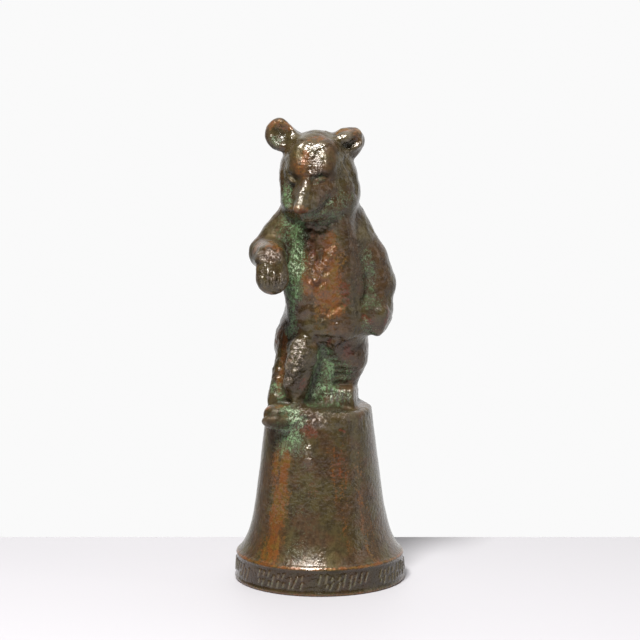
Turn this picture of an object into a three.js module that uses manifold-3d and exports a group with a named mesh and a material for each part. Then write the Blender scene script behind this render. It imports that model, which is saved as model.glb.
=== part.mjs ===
// Bear standing on a bell, cast in bronze in one piece.
// Millimetres, +Z up, the front faces -Y; the origin is the centre of the bell's mouth.

import * as THREE from 'three';
import { SimplifyModifier } from 'three/addons/modifiers/SimplifyModifier.js';
import { mergeVertices } from 'three/addons/utils/BufferGeometryUtils.js';
import Module from 'manifold-3d';

// Driving dimensions of the bell
const MOUTH_RADIUS = 31.5;
const BAND_HEIGHT = 10.2;
const BELL_HEIGHT = 64.3;
const BELL_LEAN_X = -0.4;
const WAIST_RADIUS = 22.5;
const WAIST_Z = 35.3;
const WAIST_TAPER = 0.118;
const FLARE = 3.05;
const FLARE_Z = 12.7;
const FLARE_LENGTH = 6.2;
const SHOULDER_ROUND = 1.6;
const WALL = 3.2;
const RIM_WIDTH = 4.6;
const BELL_SIDES = 60;

// Driving dimensions of the bear: landmarks on the body
const NOSE = [-7.5, -20.2, 139.2];
const SKULL = [-1.2, 1.0, 151.2];
const EAR_RIGHT = [-13.9, 2.0, 163.4];
const EAR_LEFT = [10.0, 2.2, 160.5];
const CHEST = [0.4, 3.8, 120];
const BELLY = [1.4, 4.0, 104];
const RUMP = [1.0, 9.0, 90];
const ELBOW_RIGHT = [-20.1, -0.5, 119.6];
const WRIST_RIGHT = [-17.4, -16.5, 120.9];
const ELBOW_LEFT = [20.4, 4.0, 108.6];
const WRIST_LEFT = [20.4, 0.5, 98.0];
const KNEE_RIGHT = [-6.0, -7.8, 85.0];
const FOOT_RIGHT = [-15.3, -13.2, 63.4];
const FOOT_LEFT = [7.8, 3.0, 67.4];
const TOE_PITCH = 1.98;
const CLAW_PITCH = 2.35;

// Fineness of the body's surface
const CELL = 0.9;
const BODY_LOW = [-28, -30, 54];
const BODY_HIGH = [31, 24, 172];
const BODY_POINTS = 3250;
const FAR = 60;

// Plain solids, each a distance to its surface with a box round it
function turned({ x = 0, y = 0, z = 0 } = {}) {
  const [a, b, c] = [x, y, z].map(THREE.MathUtils.degToRad);
  const m = new THREE.Matrix4().makeRotationFromEuler(new THREE.Euler(a, b, c, 'ZYX'));
  const axes = [new THREE.Vector3(), new THREE.Vector3(), new THREE.Vector3()];
  m.extractBasis(...axes);
  return axes.map((v) => v.toArray());
}

function along(axis, x, y, z) {
  return axis[0] * x + axis[1] * y + axis[2] * z;
}

function ball(at, radii, turn) {
  const axes = turned(turn);
  const reach = [0, 1, 2].map((i) => Math.hypot(...axes.map((a, k) => a[i] * radii[k])));
  const distance = (x, y, z) => {
    let near = 0;
    let slope = 0;
    for (let i = 0; i < 3; i++) {
      const q = along(axes[i], x - at[0], y - at[1], z - at[2]) / radii[i];
      near += q * q;
      slope += (q / radii[i]) ** 2;
    }
    near = Math.sqrt(near);
    return near * (near - 1) / Math.sqrt(Math.max(slope, 1e-12));
  };
  return { low: at.map((v, i) => v - reach[i]), high: at.map((v, i) => v + reach[i]), distance };
}

function limb(a, b, ra, rb = ra) {
  const v = b.map((n, i) => n - a[i]);
  const size = along(v, ...v);
  const distance = (x, y, z) => {
    const d = [x - a[0], y - a[1], z - a[2]];
    const t = Math.min(Math.max(along(v, ...d) / size, 0), 1);
    return Math.hypot(d[0] - t * v[0], d[1] - t * v[1], d[2] - t * v[2]) - (ra + t * (rb - ra));
  };
  const low = a.map((n, i) => Math.min(n - ra, b[i] - rb));
  const high = a.map((n, i) => Math.max(n + ra, b[i] + rb));
  return { low, high, distance };
}

function slab(at, half, edge, turn) {
  const axes = turned(turn);
  const reach = [0, 1, 2].map((i) => axes.reduce((sum, a, k) => sum + Math.abs(a[i]) * half[k], 0));
  const distance = (x, y, z) => {
    let out = 0;
    let most = -FAR;
    for (let i = 0; i < 3; i++) {
      const q = Math.abs(along(axes[i], x - at[0], y - at[1], z - at[2])) - (half[i] - edge);
      out += Math.max(q, 0) ** 2;
      most = Math.max(most, q);
    }
    return Math.sqrt(out) + Math.min(most, 0) - edge;
  };
  return { low: at.map((v, i) => v - reach[i]), high: at.map((v, i) => v + reach[i]), distance };
}

function smoothMin(a, b, blend) {
  if (blend <= 0) {
    return Math.min(a, b);
  }
  const h = Math.max(blend - Math.abs(a - b), 0) / blend;
  return Math.min(a, b) - h * h * blend * 0.25;
}

// A block of space that solids are joined to and carved from
class Field {
  constructor() {
    this.count = BODY_HIGH.map((v, i) => Math.ceil((v - BODY_LOW[i]) / CELL) + 1);
    this.values = new Float32Array(this.count[0] * this.count[1] * this.count[2]).fill(FAR);
    this.margin = 2.5 * CELL + 1;
  }

  index(i, j, k) {
    return (i * this.count[1] + j) * this.count[2] + k;
  }

  change(shape, reach, update) {
    const from = shape.low.map((v, i) => Math.ceil((v - reach - BODY_LOW[i]) / CELL));
    const to = shape.high.map((v, i) => Math.floor((v + reach - BODY_LOW[i]) / CELL));
    for (let i = Math.max(from[0], 0); i <= Math.min(to[0], this.count[0] - 1); i++) {
      for (let j = Math.max(from[1], 0); j <= Math.min(to[1], this.count[1] - 1); j++) {
        for (let k = Math.max(from[2], 0); k <= Math.min(to[2], this.count[2] - 1); k++) {
          const n = this.index(i, j, k);
          const p = [i, j, k].map((m, a) => BODY_LOW[a] + m * CELL);
          this.values[n] = update(this.values[n], shape.distance(...p));
        }
      }
    }
  }

  join(shape, blend = 0) {
    this.change(shape, blend + this.margin, (d, e) => smoothMin(d, e, blend));
  }

  carve(shape, blend = 0) {
    this.change(shape, blend + this.margin, (d, e) => -smoothMin(-d, e, blend));
  }

  // Presses a soft groove along a line, or raises a ridge where the depth is negative
  groove(from, to, depth, width, thick = 0.2) {
    const reach = 3 * width;
    const fall = (e) => depth * Math.exp(-((Math.max(e, 0) / width) ** 2));
    this.change(limb(from, to, thick), reach, (d, e) => d + fall(e));
  }

  merge(make, blend) {
    const other = new Field();
    make(other);
    for (let n = 0; n < this.values.length; n++) {
      this.values[n] = smoothMin(this.values[n], other.values[n], blend);
    }
  }
}

// Torso: a flat breast that turns sharply to slanted sides, sloping shoulders, rump and tail
function torso(f) {
  const belly = slab(BELLY, [13.8, 13.2, 18], 9);
  const chest = slab(CHEST, [12.8, 12.2, 17], 9.5);
  const collar = ball([0.2, 5.5, 134], [13, 11.5, 9.5]);
  const lap = ball([4.2, 2, 96], [11.8, 11.8, 9]);
  const rightShoulder = limb([-8, 3.5, 133.2], [-15.4, 2, 125.8], 6.2, 5.8);
  const leftShoulder = limb([6.8, 4, 133.5], [11.5, 3.8, 126], 6.8, 6.6);
  const rump = ball(RUMP, [14, 9.5, 12.5]);
  const tail = ball([1, 18.3, 86], [2.4, 2.2, 3.4]);
  f.join(belly);
  f.join(chest, 6);
  f.join(collar, 6);
  f.join(lap, 5);
  f.join(rightShoulder, 4);
  f.join(leftShoulder, 4);
  f.join(rump, 6);
  f.join(tail, 3);
}

// The flat front stands a little proud of slanted planes that lead to the arms
function breast(f) {
  const front = slab([2.3, -5.6, 112], [8.8, 4, 22], 3.2, { x: -2 });
  const leftSlope = slab([11.8, -3.4, 109], [7, 3.8, 19], 2.6, { z: 42, x: -2 });
  const rightHollow = slab([-12.8, -10.3, 112], [7.4, 4, 17], 3, { z: -38 });
  f.join(leftSlope, 3);
  f.join(front, 2.4);
  f.carve(rightHollow, 2.4);
}

// Head: skull, cheeks, neck, bowed forehead, wedge-shaped muzzle and lower jaw
function head(f) {
  const skull = ball(SKULL, [12.6, 13, 13.8]);
  const leftCheek = ball([7, 0.5, 145], [7.3, 9.5, 10.4], { y: -10 });
  const rightCheek = ball([-7.2, 1, 146.5], [7, 9, 11], { y: 2 });
  const neck = ball([0, 3, 139.5], [12.4, 10.5, 8.5]);
  const forehead = slab([-2.4, -6.4, 154.4], [8.4, 5.8, 7.6], 4.6, { z: -8, x: -27 });
  const muzzle = limb([-1.4, -8, 143], [-5.6, -16.4, 139.2], 6.6, 4);
  const bridge = slab([-6.1, -16.4, 143.8], [1.5, 2.2, 5.8], 0.7, { z: -6, y: 15, x: -36 });
  const muzzleSide = slab([-1.2, -11, 142.3], [5.8, 3, 4.6], 1.2, { z: 36, x: 14 });
  const jowl = ball([-6.8, -4, 139.6], [7.2, 7.6, 6.2]);
  const jaw = limb([1.8, -6.5, 138.6], [-4.8, -15, 136.9], 5.9, 3.4);
  const throat = limb([6, -4.6, 138], [6.6, -4.4, 127], 4.8, 4.8);
  f.join(skull);
  f.join(leftCheek, 4);
  f.join(rightCheek, 4);
  f.join(neck, 5);
  f.join(forehead, 3);
  f.join(muzzle, 4);
  f.join(muzzleSide, 2.6);
  f.join(bridge, 1.4);
  f.join(ball(NOSE, [2.2, 2.1, 1.9], { z: -12 }), 0.8);
  f.join(jowl, 3);
  f.carve(slab([-12.9, -14.5, 143.8], [3, 5, 5.4], 0.8, { z: -8 }), 1);
  f.join(jaw, 2);
  f.join(throat, 3);
}

// Ears: a thick leaf with a cup in its front, and a root that carries it
function ears(f) {
  const right = { z: -26, x: -10, y: 8 };
  const rightLeaf = ball(EAR_RIGHT, [6.5, 3.6, 6.1], right);
  const rightRoot = limb([-12, 3, 162], [-6.5, 4.5, 159.2], 4.8);
  const rightCup = ball([-13.4, -1.6, 164.2], [4.5, 2.9, 4], right);
  f.join(rightLeaf);
  f.join(rightRoot, 2.5);
  f.carve(rightCup, 2.2);
  f.carve(slab([-7.75, 2, 168.1], [6, 6, 3], 1, { y: 45 }), 1.5);
  f.groove([-14.3, -0.6, 167.2], [-10.4, -1.6, 161.6], -0.9, 0.9);
  const leftLeaf = ball(EAR_LEFT, [7, 3.5, 5.2], { z: 30, x: -14, y: -8 });
  const leftRoll = limb([4.2, -2.6, 160.9], [9.4, -2.2, 162.4], 1.9, 2.1);
  const leftTip = limb([9.4, -2, 162.2], [12.9, 1.5, 163.2], 2.2, 2.4);
  const leftRoot = limb([9, 3.5, 160], [4, 4.5, 158], 4.4, 4.6);
  const leftLobe = ball([11.2, 1.6, 157.4], [2.8, 2, 3], { z: 24 });
  const leftRim = limb([8.4, -1, 156.4], [14, -0.2, 160.4], 1.5, 1.7);
  const leftCup = limb([6.2, -3, 158.7], [13.6, -0.8, 161], 0.9, 1.1);
  f.join(leftLeaf);
  f.join(leftTip, 1.5);
  f.join(leftRoll, 1.2);
  f.join(leftRoot, 2.5);
  f.join(leftLobe, 1.6);
  f.join(leftRim, 1.2);
  f.carve(leftCup, 1.4);
}

// Face: brows, closed eyes, mouth and the ruff round the cheek
function face(f) {
  const leftSocket = ball([-0.2, -14.8, 149.5], [2.8, 1.7, 0.7], { z: 14, y: -22 });
  const leftLid = ball([-0.3, -12.6, 148.4], [2.3, 1, 0.9], { z: 18, y: -16 });
  const rightSocket = ball([-10.4, -11, 149.2], [2.4, 1.4, 1], { z: -40, y: 18 });
  const rightLid = ball([-10.5, -9.8, 148.1], [2, 0.8, 0.6], { z: -44, y: 26 });
  f.groove([-3.4, -13.6, 151.4], [3.4, -12.4, 153], -0.5, 1.6);
  f.groove([-12.4, -6.6, 151], [-8, -11.8, 150.4], -0.4, 1.4);
  f.carve(rightSocket, 2);
  f.carve(leftSocket, 1.2);
  f.join(leftLid, 0.8);
  f.join(rightLid, 1);
  f.groove([-7.4, -20.4, 137.2], [-3, -18.6, 137], 0.7, 0.8);
  f.groove([-2.6, -18.2, 137.2], [1.4, -14, 139.4], 0.7, 0.8);
  f.groove([1.8, -13.8, 139.7], [3.6, -12.5, 141.4], 0.5, 0.8);
  f.groove([-11.8, -8.4, 145.2], [-11.4, -9.6, 140.4], 1.1, 1.5);
  f.groove([-14, -3.4, 150], [-13.6, -3.6, 142], -0.5, 0.9);
  const ruff = [
    [9.2, -5.5, 154.2], [10.8, -5.6, 150], [12.7, -4.5, 145],
    [11.9, -4.5, 142.2], [9.6, -6.6, 138.6], [7.6, -8.9, 136],
  ];
  for (let i = 1; i < ruff.length; i++) {
    f.groove(ruff[i - 1], ruff[i], 0.8, 0.9);
  }
}

// The bear's right arm is raised, with the paw hanging from the wrist
function rightArm(f) {
  const upper = limb([-9.6, 2.5, 132], [-19.8, -0.5, 121.4], 6, 5.2);
  const fore = limb(ELBOW_RIGHT, WRIST_RIGHT, 5.1, 4.8);
  const cuff = limb([-17.4, -8, 121.6], WRIST_RIGHT, 4.8, 4.8);
  const paw = ball([-17, -19.8, 115.9], [5.7, 4.4, 7.4], { x: -8 });
  const fingers = ball([-16.9, -20.4, 113.6], [5.6, 4.2, 4.6]);
  f.join(upper);
  f.join(fore, 3);
  f.join(cuff, 3);
  f.join(paw, 2.5);
  f.join(fingers, 2);
}

function claws(f) {
  for (let i = 0; i < 4; i++) {
    const x = -19.8 + CLAW_PITCH * i;
    f.groove([x, -24.6, 117.6], [x, -24.4, 112.2], 0.8, 0.7);
  }
}

// The left arm hangs against the side, its hand laid on the hip
function leftArm(f) {
  const upper = limb([9.4, 4, 131.6], [17.2, 4, 117], 7.6, 7.2);
  const elbow = limb([17.2, 4, 117], ELBOW_LEFT, 7.2, 6.4);
  const fore = limb(ELBOW_LEFT, WRIST_LEFT, 6.4, 5.2);
  const hand = slab([19.6, -0.6, 96.8], [5, 5.2, 5.6], 2.4, { z: -10, y: 14, x: 10 });
  const thumb = limb([18.6, -1.6, 101], [16, -3, 96], 4.2, 3.4);
  f.join(upper);
  f.join(elbow, 3);
  f.join(fore, 4);
  f.join(hand, 4);
  f.join(thumb, 2.5);
}

// The right leg steps forward: thigh, shin with its rough ridge, outer calf and foot
function steppingLeg(f) {
  const thigh = ball([-6.1, 4, 86.6], [10.7, 10.5, 12.5], { y: 6 });
  const knee = limb([-5.4, 0, 86.6], KNEE_RIGHT, 7, 5.6);
  const innerCalf = limb([-6, -7.6, 83], [-8.9, -7.6, 70.4], 4.8, 4.5);
  const shin = limb([-7, -11, 88], [-10.9, -10.2, 74], 3.1, 2.8);
  const shinPlate = slab([-8.5, -12.1, 84.3], [2.8, 2.1, 6], 1.6, { y: 17, x: -14 });
  const shinTip = limb([-9.4, -12.2, 80.5], [-11.3, -11.6, 75.4], 2.6, 1.7);
  const outerCalf = limb([-11.8, -1, 84], [-15, -5.5, 67], 4.1, 4.3);
  const heel = limb([-13.6, -6.5, 64.6], [-14.8, -11, 62.8], 4.4, 3.8);
  const foot = ball(FOOT_RIGHT, [5.3, 5.4, 3.8], { x: 10 });
  const pad = ball([-15.7, -16.9, 61.5], [5.4, 2.9, 3.1], { x: 6 });
  f.join(thigh);
  f.join(knee, 4);
  f.join(innerCalf, 3);
  f.join(shin, 2);
  f.join(shinTip, 2.4);
  f.join(shinPlate, 2);
  f.join(outerCalf, 1.2);
  f.join(heel, 2);
  f.join(foot, 0.8);
  f.carve(ball([-15.6, -20.6, 65.2], [4.6, 2.6, 2.2], { x: -6 }), 0.6);
  f.join(pad, 0.3);
}

// The left leg stands, with its toes side by side
function standingLeg(f) {
  const thigh = ball([9, 4.5, 87], [8.6, 10, 11.5], { y: -4 });
  const shin = limb([10, 2, 81], [8, 3.6, 71.5], 7.2, 5.4);
  const foot = slab(FOOT_LEFT, [5.6, 7, 4.6], 3.2);
  const toeRoot = slab([7.4, -3.3, 67], [5.1, 2.5, 4.4], 1.2, { x: -20 });
  const heel = ball([8, 9, 67.2], [6, 4.6, 5.6]);
  f.join(thigh);
  f.join(shin, 3);
  f.join(foot, 2.4);
  f.join(heel, 2.4);
  f.join(toeRoot, 1.6);
  for (let i = 0; i < 5; i++) {
    const x = 3.2 + TOE_PITCH * i;
    const toe = limb([x, -5, 70.2], [x, -6.6, 65.8], 1.15, 1.35);
    f.join(toe, 0.35);
  }
}

// Metal left standing between the legs, and the rough ground under the feet
function web(f) {
  const back = limb([2, 5.4, 84], [-0.6, 4.4, 66], 6.8, 7.4);
  const rightBack = limb([-7, 2.6, 81], [-9.4, -0.6, 66.5], 6, 5.6);
  const groin = limb([5, -5, 92], [4.6, -4.2, 86.6], 4.2, 2.6);
  const front = limb([2.6, 0.4, 85], [-1.6, -1.6, 70], 4.6, 5);
  const crest = limb([3.8, -1.6, 80], [-0.6, -3.2, 67], 2.4, 2.8);
  const ground = slab([-3.4, -5, 63.2], [10, 10, 3.6], 3, { y: 8, x: 12 });
  const clump = limb([-9, -14.4, 62.3], [-1.4, -15.8, 62.2], 3.7, 3.1);
  const smallClump = ball([4, -13.4, 62.2], [4.6, 4.8, 2.4], { y: -4, x: 14 });
  f.join(back, 4);
  f.join(rightBack, 4);
  f.join(groin, 3);
  f.join(front, 4);
  f.join(crest, 3);
  f.join(ground, 3);
  f.join(clump, 2);
  f.join(smallClump, 2);
}

// Larger folds of the body, its front first, then its sides, feet and back
function creases(f) {
  f.groove([-6.2, -8.9, 129], [-4, -9.2, 125.6], -0.9, 1.3);
  f.groove([-4, -9.2, 125.6], [-0.6, -10.1, 113], -1.1, 1.2);
  f.groove([4.2, -9.6, 122.5], [-0.4, -10.1, 114], -0.8, 1.1);
  f.groove([0.2, -9.4, 123], [-0.2, -10, 117.6], 0.6, 1.2);
  f.groove([0.2, -9.8, 108], [6, -9.8, 108.4], -0.4, 1.1);
  f.groove([3.6, -9.9, 101], [7, -10, 102.6], 0.4, 1);
  f.groove([7, -10, 102.6], [12.4, -8.8, 101.8], 0.4, 1);
  f.groove([-1, -9.6, 91.4], [2.4, -9.8, 90.4], 0.6, 0.9);
  f.groove([2.4, -9.8, 90.4], [6.4, -9.6, 91.2], 0.4, 0.9);
  f.groove([12.2, -6, 91], [6, -7.5, 86], 0.9, 1.3);
  f.groove([4.6, -8.4, 89.6], [5, -7.6, 86.6], -1, 1.1, 0.6);
  f.groove([14.6, -3.6, 121], [16.4, -3, 112], 0.35, 1.4);
  f.groove([16.4, -3, 112], [15.4, -4.5, 95], 0.4, 1.2);
  f.groove([-12.2, -8.6, 91], [-13.2, -10.5, 80], 1.3, 1);
  f.groove([-13.2, -10.5, 80], [-15.4, -10, 71], 1, 1.1);
  f.groove([-20, -9, 66.6], [-11.4, -10.6, 67.2], 0.9, 0.9);
  f.groove([-5.4, -14.4, 133.6], [1.4, -12.2, 132.6], 0.8, 0.9);
  f.groove([1.4, -12.2, 132.6], [5, -10.4, 133.6], 0.6, 0.9);
  f.groove([0.6, 16.8, 130], [1, 18.6, 96], 0.8, 2.2);
  f.groove([0.4, 13.6, 83], [0, 12.4, 64], 1.8, 2.4);
}

function bearField() {
  const f = new Field();
  torso(f);
  breast(f);
  f.merge(steppingLeg, 3);
  f.merge(standingLeg, 3);
  f.merge(web, 3);
  f.merge(head, 2.5);
  f.merge(ears, 1.5);
  f.merge(leftArm, 1.6);
  f.merge(rightArm, 2.4);
  face(f);
  claws(f);
  creases(f);
  settle(f);
  return f;
}

// Where only opposite corners of a grid square are solid, the thinner one changes sides
function settle(f) {
  let left = 1;
  while (left > 0) {
    left = 0;
    for (let axis = 0; axis < 3; axis++) {
      left += settleAcross(f, axis);
    }
  }
}

function settleAcross(f, axis) {
  const size = [f.count[1] * f.count[2], f.count[2], 1];
  const u = size[(axis + 1) % 3];
  const v = size[(axis + 2) % 3];
  const d = f.values;
  let changed = 0;
  for (let n = 0; n < d.length - u - v; n++) {
    const solid = d[n] < 0;
    if (solid !== d[n + u + v] < 0 || solid === d[n + u] < 0 || solid === d[n + v] < 0) {
      continue;
    }
    const corners = [n, n + u, n + v, n + u + v];
    const weak = corners.reduce((a, b) => (Math.abs(d[b]) < Math.abs(d[a]) ? b : a));
    d[weak] = d[weak] < 0 ? 0.02 : -0.02;
    changed += 1;
  }
  return changed;
}

// A point in each cell that the surface crosses
function cellPoints(f) {
  const [nx, ny, nz] = f.count;
  const ids = new Int32Array(nx * ny * nz).fill(-1);
  const points = [];
  for (let i = 0; i < nx - 1; i++) {
    for (let j = 0; j < ny - 1; j++) {
      for (let k = 0; k < nz - 1; k++) {
        const at = crossing(f, i, j, k);
        if (at) {
          ids[f.index(i, j, k)] = points.length / 3;
          points.push(...at.map((v, a) => BODY_LOW[a] + v * CELL));
        }
      }
    }
  }
  return { ids, points };
}

// Mean of the points where the surface crosses a cell's twelve edges
function crossing(f, i, j, k) {
  const sum = [0, 0, 0];
  let hits = 0;
  for (let axis = 0; axis < 3; axis++) {
    for (let n = 0; n < 4; n++) {
      const start = [i, j, k];
      start[(axis + 1) % 3] += n & 1;
      start[(axis + 2) % 3] += n >> 1;
      const end = [...start];
      end[axis] += 1;
      const a = f.values[f.index(...start)];
      const b = f.values[f.index(...end)];
      if ((a < 0) !== (b < 0)) {
        start[axis] += a / (a - b);
        start.forEach((v, m) => { sum[m] += v; });
        hits += 1;
      }
    }
  }
  return hits ? sum.map((v) => v / hits) : null;
}

// Two triangles round each grid edge that the surface crosses
function cellFaces(f, ids) {
  const faces = [];
  const [nx, ny, nz] = f.count;
  for (let i = 1; i < nx - 1; i++) {
    for (let j = 1; j < ny - 1; j++) {
      for (let k = 1; k < nz - 1; k++) {
        for (let axis = 0; axis < 3; axis++) {
          addFace(f, ids, [i, j, k], axis, faces);
        }
      }
    }
  }
  return faces;
}

function addFace(f, ids, at, axis, faces) {
  const next = [...at];
  next[axis] += 1;
  const inside = f.values[f.index(...at)] < 0;
  if (inside === (f.values[f.index(...next)] < 0)) {
    return;
  }
  const back = (p, a) => p.map((v, m) => (m === (axis + a) % 3 ? v - 1 : v));
  const ring = [back(back(at, 1), 2), back(at, 2), at, back(at, 1)].map((p) => ids[f.index(...p)]);
  if (!inside) {
    ring.reverse();
  }
  faces.push(ring[0], ring[1], ring[2], ring[0], ring[2], ring[3]);
}

async function bearGeometry() {
  const f = bearField();
  const { ids, points } = cellPoints(f);
  const geometry = new THREE.BufferGeometry();
  geometry.setAttribute('position', new THREE.Float32BufferAttribute(points, 3));
  geometry.setIndex(cellFaces(f, ids));
  geometry.computeVertexNormals();
  const spare = points.length / 3 - BODY_POINTS;
  return new SimplifyModifier().modify(geometry, spare);
}

// Bell: a band at the mouth, a flare, a straight taper and a rounded shoulder
function bellRadius(z) {
  const line = WAIST_RADIUS - WAIST_TAPER * (z - WAIST_Z);
  return line + FLARE * Math.exp(-(z - FLARE_Z) / FLARE_LENGTH);
}

function outerProfile() {
  const top = BELL_HEIGHT;
  const points = [[0, 0], [MOUTH_RADIUS - 0.3, 0], [MOUTH_RADIUS, 0.5], [MOUTH_RADIUS - 0.3, 6]];
  points.push([MOUTH_RADIUS - 0.8, BAND_HEIGHT - 0.8], [MOUTH_RADIUS - 1.4, BAND_HEIGHT]);
  for (const z of [10.6, 12.6, 15, 18.5, 24, 31, 42, 53]) {
    points.push([Math.min(bellRadius(z), MOUTH_RADIUS - 2.1), z]);
  }
  const edge = bellRadius(top - SHOULDER_ROUND);
  points.push([edge, top - SHOULDER_ROUND], [edge - 0.5, top - 0.6], [edge - 1.6, top], [0, top]);
  return points;
}

function innerProfile() {
  const top = BELL_HEIGHT - WALL - 0.6;
  const mouth = MOUTH_RADIUS - RIM_WIDTH;
  const points = [[0, -1], [mouth, -1], [mouth, 1], [mouth - 0.3, 8]];
  for (const z of [16, 24, 40, top - 4]) {
    points.push([bellRadius(z) - WALL, z]);
  }
  points.push([bellRadius(top) - WALL - 2.5, top - 0.8], [bellRadius(top) - WALL - 6, top], [0, top]);
  return points;
}

function turnedSolid(profile, lean) {
  const points = profile.map(([r, z]) => new THREE.Vector2(Math.max(r, 1e-6), z));
  const lathe = new THREE.LatheGeometry(points, BELL_SIDES).rotateX(Math.PI / 2);
  lathe.applyMatrix4(new THREE.Matrix4().makeShear(0, 0, 0, 0, lean / BELL_HEIGHT, 0));
  lathe.deleteAttribute('uv');
  lathe.deleteAttribute('normal');
  return withoutSlivers(mergeVertices(lathe, 1e-4));
}

function withoutSlivers(geometry) {
  const index = [...geometry.getIndex().array];
  const faces = [];
  for (let n = 0; n < index.length; n += 3) {
    const [a, b, c] = index.slice(n, n + 3);
    if (a !== b && b !== c && c !== a) {
      faces.push(a, b, c);
    }
  }
  return geometry.setIndex(faces);
}

// Joining and cutting
function asSolid(wasm, geometry) {
  const position = geometry.getAttribute('position');
  const mesh = new wasm.Mesh({
    numProp: 3,
    vertProperties: Float32Array.from(position.array),
    triVerts: Uint32Array.from(geometry.getIndex().array),
  });
  mesh.merge();
  return new wasm.Manifold(mesh);
}

function asGeometry(solid) {
  const mesh = solid.getMesh();
  const geometry = new THREE.BufferGeometry();
  geometry.setAttribute('position', new THREE.Float32BufferAttribute(mesh.vertProperties, 3));
  geometry.setIndex(new THREE.BufferAttribute(mesh.triVerts, 1));
  return geometry;
}

const wasm = await Module();
wasm.setup();

const bear = asSolid(wasm, await bearGeometry());
const bell = asSolid(wasm, turnedSolid(outerProfile(), BELL_LEAN_X));
const hollow = asSolid(wasm, turnedSolid(innerProfile(), BELL_LEAN_X));
const casting = bell.add(bear).subtract(hollow);

const bronze = new THREE.MeshStandardMaterial({
  color: new THREE.Color(0x43352a),
  roughness: 0.42,
  metalness: 0.85,
});
bronze.name = 'patinated_bronze';

const body = new THREE.Mesh(asGeometry(casting), bronze);
body.name = 'bear_on_bell';

const part = new THREE.Group();
part.name = 'bear_on_bell_casting';
part.add(body);

export default part;
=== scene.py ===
"""Bear standing on a bell, cast in bronze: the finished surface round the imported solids.

The sculpt is worked out in millimetres in the frame of the solids (+Z up, the front faces -Y,
the origin is the centre of the bell's mouth) and turned into metres when its meshes are made.
"""
from math import atan, radians, tan

import bpy
import numpy as np
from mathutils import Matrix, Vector
from mathutils.kdtree import KDTree


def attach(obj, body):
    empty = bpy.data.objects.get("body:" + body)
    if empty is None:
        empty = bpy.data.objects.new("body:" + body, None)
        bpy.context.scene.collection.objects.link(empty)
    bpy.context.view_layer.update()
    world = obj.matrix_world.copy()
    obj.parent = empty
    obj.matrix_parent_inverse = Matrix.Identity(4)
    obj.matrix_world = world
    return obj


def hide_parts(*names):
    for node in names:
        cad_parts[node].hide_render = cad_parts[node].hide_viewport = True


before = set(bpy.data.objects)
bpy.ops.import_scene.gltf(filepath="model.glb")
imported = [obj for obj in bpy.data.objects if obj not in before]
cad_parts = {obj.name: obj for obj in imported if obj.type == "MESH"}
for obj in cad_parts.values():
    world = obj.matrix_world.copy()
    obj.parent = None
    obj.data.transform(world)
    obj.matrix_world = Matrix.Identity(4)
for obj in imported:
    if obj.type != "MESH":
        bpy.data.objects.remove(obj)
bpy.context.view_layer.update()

MM = 0.001

# Driving dimensions of the bell
MOUTH_RADIUS = 31.5
BAND_HEIGHT = 10.2
BELL_HEIGHT = 64.3
BELL_LEAN_X = -0.4
WAIST_RADIUS = 22.5
WAIST_Z = 35.3
WAIST_TAPER = 0.118
FLARE = 3.05
FLARE_Z = 12.7
FLARE_LENGTH = 6.2
SHOULDER_ROUND = 1.6
WALL = 3.2
RIM_WIDTH = 4.6

# Driving dimensions of the bear: landmarks on the body
NOSE = (-7.5, -20.2, 139.2)
SKULL = (-1.2, 1.0, 151.2)
EAR_RIGHT = (-13.9, 2.0, 163.3)
EAR_LEFT = (10.0, 2.2, 160.5)
CHEST = (0.4, 3.8, 120)
BELLY = (1.4, 4.0, 104)
RUMP = (1.0, 9.0, 90)
ELBOW_RIGHT = (-20.1, -0.5, 119.6)
WRIST_RIGHT = (-17.4, -16.5, 120.9)
ELBOW_LEFT = (20.4, 4.0, 108.6)
WRIST_LEFT = (20.4, 0.5, 98.0)
KNEE_RIGHT = (-6.0, -7.8, 85.0)
FOOT_RIGHT = (-15.3, -13.2, 63.4)
FOOT_LEFT = (7.8, 3.0, 67.4)
TOE_X = 3.2
TOE_PITCH = 1.98
CLAW_X = -21.0
CLAW_PITCH = 2.35

# Fineness of the surface, and the seed from which each noise has its own offset
CELL = 0.52
JOIN_Z = 56.0
LAP = 2.0
TUCK = 0.15
BODY_LOW = (-28, -30, 53)
BODY_HIGH = (31, 24, 172)
FAR = 60.0
THIN = 0.2
SEED = 7


# Plain solids, each a distance to its surface with a box round it
def turned(z=0.0, y=0.0, x=0.0):
    """Axes of a solid turned about x, then y, then z, in degrees, as columns."""
    (sx, cx), (sy, cy), (sz, cz) = ((np.sin(a), np.cos(a)) for a in np.radians([x, y, z]))
    about_x = np.array([[1, 0, 0], [0, cx, -sx], [0, sx, cx]])
    about_y = np.array([[cy, 0, sy], [0, 1, 0], [-sy, 0, cy]])
    about_z = np.array([[cz, -sz, 0], [sz, cz, 0], [0, 0, 1]])
    return about_z @ about_y @ about_x


class Ball:
    """Ellipsoid."""

    def __init__(self, at, radii, **turn):
        self.at = np.array(at, float)
        self.radii = np.array(radii, float)
        self.axes = turned(**turn)
        reach = np.sqrt(((self.axes * self.radii) ** 2).sum(1))
        self.low, self.high = self.at - reach, self.at + reach

    def distance(self, x, y, z):
        dx, dy, dz = x - self.at[0], y - self.at[1], z - self.at[2]
        near = 0.0
        slope = 0.0
        for a, r in zip(self.axes.T, self.radii):
            q = (a[0] * dx + a[1] * dy + a[2] * dz) / r
            near = near + q * q
            slope = slope + (q / r) ** 2
        near = np.sqrt(near)
        return near * (near - 1) / np.sqrt(np.maximum(slope, 1e-12))


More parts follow.
